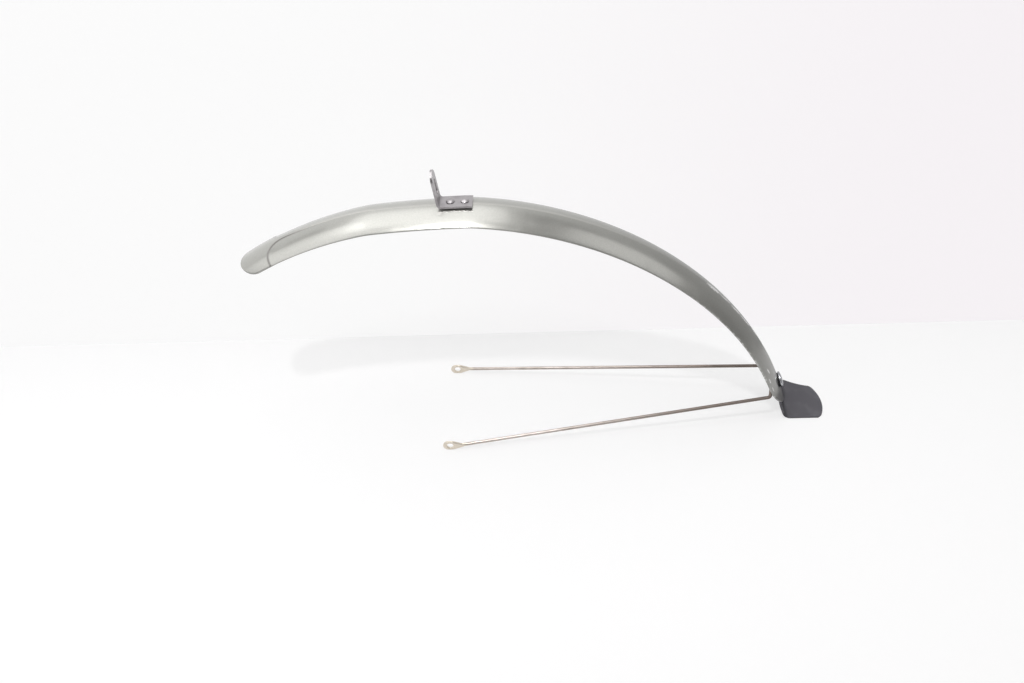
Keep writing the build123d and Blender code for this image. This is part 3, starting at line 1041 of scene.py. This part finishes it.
# %% [markdown]
# ## The studio
#
# A white table meets a low white wall close behind the part. The wall's back lets the camera
# through, so that the part can be looked at from behind too. To the camera the stage is partly
# white by itself; the rest of its brightness comes from the lamps, which is what keeps the shadow
# pale. The room is brighter on its left, and the stage's own white is painted to match: the wall
# fades to a pinkish painted shade on its right, and what the paint mirrors of the stage is a
# painted reflection that fades to a dim grey on the right. The stage ends beyond the part.

# %% Floor and wall
wall_y = 124.3 * mm
wall_height = 0.43
stage_left, stage_right = -3.0, 0.75
stage_front, stage_back = -3.0, 3.0
dim_x, bright_x = 0.45, -0.25   # the stage's glow, on the wall and in reflections, is painted dimmer to the right between these places
pure_white = (1, 1, 1, 1)
stage_white = (0.93, 0.925, 0.93, 1)
# pinkish painted shade on the wall's right
wall_right_shade_tone = (0.965, 0.93, 0.955, 1)
# dim grey of the painted reflection on the stage's right
mirrored_shade_grey = (0.31, 0.31, 0.31, 1)


def make_stage_finish(name, shown_white, right_shade_tone, mirrored_white, see_through):
    """Pale matt surface that is partly white by itself, for the camera and in reflections.

    The shares of white differ. Both fade to the right as painted shade: to a given tone for the
    camera, and to a dim grey in reflections, a painted reflection of a darker room.
    """
    finish = bpy.data.materials.new(name)
    finish.use_nodes = True
    tree = finish.node_tree
    tree.nodes.clear()
    x = add_node(tree, "ShaderNodeSeparateXYZ", Vector=add_place(tree)).outputs[0]
    # painted shade: the stage's glow dims towards the right
    painted_falloff = add_ramp(tree, x, dim_x, bright_x)
    light_path = tree.nodes.new("ShaderNodeLightPath").outputs
    shown = add_mix(tree, painted_falloff, right_shade_tone, pure_white)
    mirrored = add_mix(tree, painted_falloff, mirrored_shade_grey, pure_white)
    colour = add_mix(tree, light_path["Is Glossy Ray"], shown, mirrored)
    to_camera = add_product(tree, light_path["Is Camera Ray"], shown_white)
    to_paint = add_product(tree, light_path["Is Glossy Ray"], mirrored_white)
    share = add_math(tree, "ADD", to_camera, to_paint)
    matt = add_node(tree, "ShaderNodeBsdfDiffuse", Color=stage_white).outputs[0]
    glow = add_node(tree, "ShaderNodeEmission", Color=colour, Strength=1.0).outputs[0]
    surface = add_node(tree, "ShaderNodeMixShader", i0=share, i1=matt, i2=glow).outputs[0]
    if see_through:
        back = tree.nodes.new("ShaderNodeNewGeometry").outputs["Backfacing"]
        clear = tree.nodes.new("ShaderNodeBsdfTransparent").outputs[0]
        surface = add_node(tree, "ShaderNodeMixShader", i0=back, i1=surface, i2=clear).outputs[0]
    out = tree.nodes.new("ShaderNodeOutputMaterial")
    tree.links.new(surface, out.inputs[0])
    return finish


def add_sheet(name, corners, finish):
    """One flat face through four corners."""
    mesh = bpy.data.meshes.new(name)
    mesh.from_pydata(corners, [], [(0, 1, 2, 3)])
    mesh.materials.append(finish)
    sheet = bpy.data.objects.new(name, mesh)
    bpy.context.scene.collection.objects.link(sheet)
    print(name, "corners:", [tuple(round(v, 3) for v in corner) for corner in corners])


table_corners = [
    (stage_left, stage_front, 0), (stage_right, stage_front, 0),
    (stage_right, stage_back, 0), (stage_left, stage_back, 0),
]
wall_corners = [
    (stage_left, wall_y, 0), (stage_right, wall_y, 0),
    (stage_right, wall_y, wall_height), (stage_left, wall_y, wall_height),
]
table_white = make_stage_finish(
    "table_white", shown_white=0.69, right_shade_tone=pure_white, mirrored_white=0.5, see_through=False
)
wall_white = make_stage_finish(
    "wall_white", shown_white=0.87, right_shade_tone=wall_right_shade_tone, mirrored_white=1.0,
    see_through=True,
)
add_sheet("table", table_corners, table_white)
add_sheet("wall", wall_corners, wall_white)

# %% Lamps and world
room_light = 0.23
room_tone = (1, 0.99, 0.995, 1)
middle = (-0.02, 0.0, 0.12)
ceiling_place = (-0.45, 0.50, 1.70)
below_ceiling = (-0.45, 0.501, 0)


def add_lamp(name, place, target, size, power):
    """A square area lamp that faces a point."""
    data = bpy.data.lights.new(name, "AREA")
    data.shape = "SQUARE"
    data.size = size
    data.energy = power
    lamp = bpy.data.objects.new(name, data)
    bpy.context.scene.collection.objects.link(lamp)
    lamp.location = place
    lamp.rotation_euler = (Vector(target) - Vector(place)).to_track_quat("-Z", "Y").to_euler()
    print(name, "power:", power)


add_lamp("key_above", (-0.18, -0.52, 1.45), middle, size=0.06, power=7.0)
add_lamp("ceiling", ceiling_place, below_ceiling, size=1.5, power=14.0)
add_lamp("soft_left", (-1.10, -0.20, 1.15), middle, size=1.1, power=5.5)
add_lamp("soft_right", (0.95, -0.06, 0.98), middle, size=0.9, power=2.3)
world = bpy.data.worlds.new("studio")
world.use_nodes = True
world_tree = world.node_tree
room = world_tree.nodes["Background"].inputs
room["Color"].default_value = room_tone
seen = world_tree.nodes.new("ShaderNodeLightPath").outputs["Is Camera Ray"]
vary(world_tree, room["Strength"], room_light, seen, 1 - room_light)
bpy.context.scene.world = world

# %% [markdown]
# ## The camera
#
# The photograph was taken from in front and above. The lens and the three angles were found by
# matching the solids' outline to it.

# %% Camera and view
camera_place = (wheel_x + 104.664 * mm, -658.85 * mm, 687.17 * mm)
camera_turn = (48.166, 3.085, 1.217)
camera_data = bpy.data.cameras.new("camera")
camera_data.lens = 30.492
camera_data.sensor_width = 36.0
camera = bpy.data.objects.new("camera", camera_data)
bpy.context.scene.collection.objects.link(camera)
camera.location = camera_place
camera.rotation_euler = Euler([math.radians(a) for a in camera_turn])
bpy.context.scene.camera = camera
bpy.context.scene.view_settings.view_transform = "Standard"
print("camera at:", [round(v, 4) for v in camera_place], "lens:", camera_data.lens)
